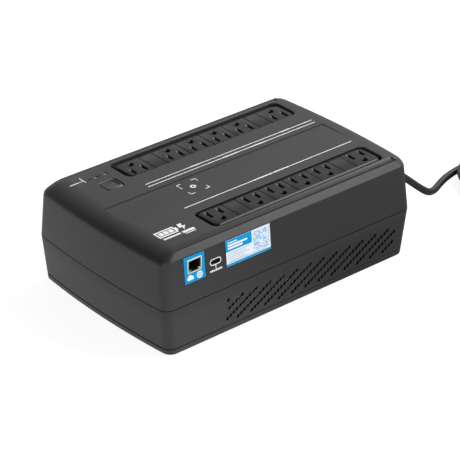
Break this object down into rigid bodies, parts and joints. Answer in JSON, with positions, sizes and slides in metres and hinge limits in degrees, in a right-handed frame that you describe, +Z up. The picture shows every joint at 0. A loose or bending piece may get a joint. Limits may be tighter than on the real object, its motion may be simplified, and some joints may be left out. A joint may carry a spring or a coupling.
{
  "type": "uninterruptible power supply",
  "caption": "Low battery backup unit with two rows of outlets on its top, a lit power button, a network socket, a USB-C socket and a cord with a plug.",
  "frame": {"origin": "middle of the case, on the surface the rubber feet stand on", "axes": "+X along the case towards the end the cord leaves, +Y away from the long side with the network socket, +Z up"},
  "size_m": [0.5714, 0.2126, 0.101],
  "materials": {
    "case_plastic": "fine spark texture",
    "outlet_plastic": "smooth satin",
    "black_rubber": "matte",
    "black_plastic": "satin",
    "steel": "plated",
    "brass": "bright",
    "aluminium": "extruded",
    "board_green": "lacquered",
    "white_plastic": "clear lamps",
    "lens_plastic": "smoked",
    "lamp_plastic": "one green lamp and one amber",
    "blue_print": "printed film",
    "label_film": "printed film",
    "copper": "enamelled wire under tape",
    "relay_blue": "moulded",
    "fuse_orange": "moulded",
    "wire_cover": "black, red, white or green by wire",
    "foam": "closed cell foam",
    "breaker_red": "moulded"
  },
  "bodies": {
    "case": {"top_cover": "case_plastic", "bottom_shell": "case_plastic", "rubber_feet": "black_rubber", "case_screws": "steel", "near_outlet_strip": "outlet_plastic", "far_outlet_strip": "outlet_plastic", "live_bus_bars": "brass", "neutral_bus_bars": "brass", "ground_bus_bars": "brass", "strip_screws": "steel", "outlet_leads": "wire_cover", "signal_cables": "wire_cover", "button_spring": "steel", "button_switch": "outlet_plastic", "lamp_lenses": "lens_plastic", "status_lamps": "white_plastic", "control_board": "board_green", "control_chips": "black_plastic", "network_jack_shield": "steel", "network_jack_body": "outlet_plastic", "network_jack_contacts": "brass", "network_jack_lamps": "lamp_plastic", "network_sticker": "blue_print", "usb_jack_shell": "steel", "usb_jack_tongue": "black_plastic", "jack_board": "board_green", "network_chip": "black_plastic", "information_label": "label_film", "main_board": "board_green", "heat_sink": "aluminium", "power_transistors": "black_plastic", "relays": "relay_blue", "capacitors": "relay_blue", "battery_fuse": "fuse_orange", "beeper": "black_plastic", "board_screws": "steel", "transformer_core": "steel", "transformer_bobbin": "white_plastic", "transformer_winding": "copper", "transformer_bracket": "steel", "transformer_screws": "steel", "battery_case": "black_plastic", "battery_terminals": "steel", "battery_leads": "wire_cover", "lead_connectors": "wire_cover", "battery_foam_pads": "foam", "breaker_body": "black_plastic", "breaker_nut": "steel", "mains_leads": "wire_cover", "strain_relief": "black_rubber", "power_cord": "black_rubber", "cord_coil": "black_rubber", "cord_tie": "black_rubber", "plug_body": "black_rubber", "plug_blades": "brass", "plug_ground_pin": "brass"},
    "power_button": {"power_button": "outlet_plastic"},
    "breaker_button": {"breaker_button": "breaker_red"},
    "battery_door": {"battery_door": "case_plastic"}
  },
  "joints": [
    {"name": "power_button_press", "type": "slide", "parent": "case", "child": "power_button", "axis": [0, 0, -1], "range_m": [0, 0.0015], "stiffness_N_per_m": 1500, "springref_m": -0.001, "deforming": ["button_spring"]},
    {"name": "breaker_trip", "type": "slide", "parent": "case", "child": "breaker_button", "axis": [1, 0, 0], "range_m": [0, 0.0035]},
    {"name": "battery_door_slide", "type": "slide", "parent": "case", "child": "battery_door", "axis": [0, 1, 0], "range_m": [0, 0.045]}
  ]
}
